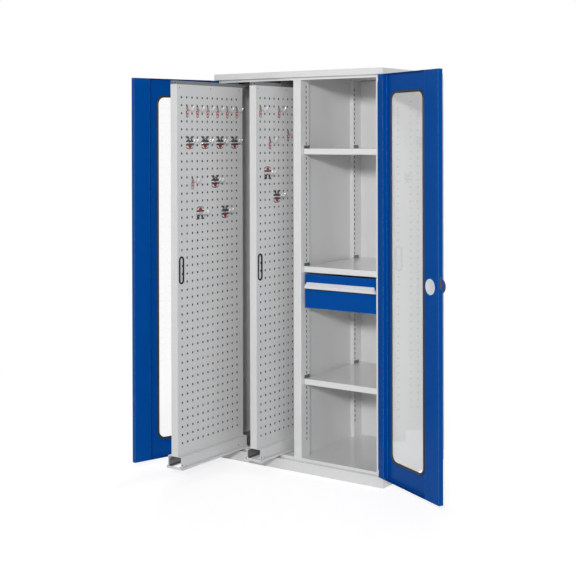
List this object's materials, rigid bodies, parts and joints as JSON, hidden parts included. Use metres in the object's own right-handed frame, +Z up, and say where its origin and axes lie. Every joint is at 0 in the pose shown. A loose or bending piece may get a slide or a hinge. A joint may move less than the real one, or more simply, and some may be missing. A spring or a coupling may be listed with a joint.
{
  "type": "tool cabinet",
  "caption": "Tall steel tool cabinet with two window doors, perforated pull-out tool panels on telescopic slides, shelves, a drawer and a rod lock.",
  "frame": {"origin": "bottom centre of the carcass, on the floor, without the open doors and pull-outs", "axes": "+X to the right seen from the front, +Y to the back, +Z up; the doors face -Y"},
  "size_m": [1.5671, 1.0715, 1.95],
  "materials": {
    "body_grey": "satin powder coat",
    "door_blue": "semi-gloss powder coat",
    "panel_grey": "satin powder coat",
    "grip_white": "satin anodised",
    "seal_black": "matt",
    "pane": "clear polycarbonate",
    "slide_steel": "zinc plated",
    "track_dark": "dark passivated",
    "guide_grey": "satin",
    "clip_dark": "dark passivated",
    "handle_black": "fine grain",
    "runner_dark": "smooth",
    "hook_steel": "nickel plated",
    "tab_red": "smooth",
    "pin_steel": "turned",
    "lock_steel": "zinc plated",
    "rosette": "smooth",
    "knob": "smooth"
  },
  "bodies": {
    "cabinet": {"plinth": "body_grey", "floor_panel": "body_grey", "left_side_panel": "body_grey", "right_side_panel": "body_grey", "back_panel": "body_grey", "top_cover": "body_grey", "ceiling_panel": "body_grey", "partition_panel": "body_grey", "partition_posts": "body_grey", "left_posts": "body_grey", "right_posts": "body_grey", "upper_shelf": "body_grey", "middle_shelf": "body_grey", "lower_shelf": "body_grey", "shelf_clips": "clip_dark", "left_floor_track": "track_dark", "right_floor_track": "track_dark", "left_top_guide": "guide_grey", "right_top_guide": "guide_grey", "drawer_fixed_slides": "slide_steel", "hinge_pins": "pin_steel"},
    "left_door": {"left_door_leaf": "door_blue", "left_door_stiffener": "door_blue", "left_door_seal": "seal_black", "left_door_pane": "pane"},
    "right_door": {"right_door_leaf": "door_blue", "right_door_stiffener": "door_blue", "right_door_seal": "seal_black", "right_door_pane": "pane", "lock_case": "lock_steel", "lock_rosette": "rosette"},
    "lock_knob": {"lock_knob": "knob"},
    "upper_lock_rod": {"upper_lock_rod": "lock_steel"},
    "lower_lock_rod": {"lower_lock_rod": "lock_steel"},
    "left_pullout": {"left_panel_face": "panel_grey", "left_panel_back": "panel_grey", "left_panel_cap": "panel_grey", "left_handle_rim": "handle_black", "left_carriage_beam": "panel_grey", "left_moving_slides": "track_dark", "left_top_runner": "runner_dark", "left_hooks": "hook_steel", "left_hook_tabs": "tab_red"},
    "left_slide_stage": {"left_middle_slides": "track_dark"},
    "right_pullout": {"right_panel_face": "panel_grey", "right_panel_back": "panel_grey", "right_panel_cap": "panel_grey", "right_handle_rim": "handle_black", "right_carriage_beam": "panel_grey", "right_moving_slides": "track_dark", "right_top_runner": "runner_dark", "right_hooks": "hook_steel", "right_hook_tabs": "tab_red"},
    "right_slide_stage": {"right_middle_slides": "track_dark"},
    "drawer": {"drawer_front": "door_blue", "drawer_grip": "grip_white", "drawer_box": "body_grey", "drawer_moving_slides": "slide_steel"},
    "drawer_slide_stage": {"drawer_middle_slides": "slide_steel"}
  },
  "joints": [
    {"name": "left_door_hinge", "type": "hinge", "parent": "cabinet", "child": "left_door", "pos_m": [-0.49, -0.293, 0], "axis": [0, 0, -1], "range_deg": [-22.4, 72.6]},
    {"name": "right_door_hinge", "type": "hinge", "parent": "cabinet", "child": "right_door", "pos_m": [0.49, -0.293, 0], "axis": [0, 0, 1], "range_deg": [-152.7, 27.3]},
    {"name": "lock_knob_turn", "type": "hinge", "parent": "right_door", "child": "lock_knob", "pos_m": [0.86766, -0.48793, 0.981], "axis": [0.4586, 0.8886, 0], "range_deg": [0, 90]},
    {"name": "upper_rod_slide", "type": "slide", "parent": "right_door", "child": "upper_lock_rod", "axis": [0, 0, 1], "range_m": [0, 0.014]},
    {"name": "lower_rod_slide", "type": "slide", "parent": "right_door", "child": "lower_lock_rod", "axis": [0, 0, -1], "range_m": [0, 0.014]},
    {"name": "left_pullout_slide", "type": "slide", "parent": "cabinet", "child": "left_pullout", "axis": [0, -1, 0], "range_m": [-0.516, 0]},
    {"name": "left_stage_slide", "type": "slide", "parent": "cabinet", "child": "left_slide_stage", "axis": [0, -1, 0], "range_m": [-0.258, 0]},
    {"name": "right_pullout_slide", "type": "slide", "parent": "cabinet", "child": "right_pullout", "axis": [0, -1, 0], "range_m": [-0.1986, 0.3174]},
    {"name": "right_stage_slide", "type": "slide", "parent": "cabinet", "child": "right_slide_stage", "axis": [0, -1, 0], "range_m": [-0.0993, 0.1587]},
    {"name": "drawer_slide", "type": "slide", "parent": "cabinet", "child": "drawer", "axis": [0, -1, 0], "range_m": [0, 0.4]},
    {"name": "drawer_stage_slide", "type": "slide", "parent": "cabinet", "child": "drawer_slide_stage", "axis": [0, -1, 0], "range_m": [0, 0.2]}
  ],
  "couplings": [
    {"joint": "lock_knob_turn", "follows": "upper_rod_slide", "rad_per_m": 112},
    {"joint": "lower_rod_slide", "follows": "upper_rod_slide", "ratio": 1},
    {"joint": "left_stage_slide", "follows": "left_pullout_slide", "ratio": 0.5},
    {"joint": "right_stage_slide", "follows": "right_pullout_slide", "ratio": 0.5},
    {"joint": "drawer_stage_slide", "follows": "drawer_slide", "ratio": 0.5}
  ]
}
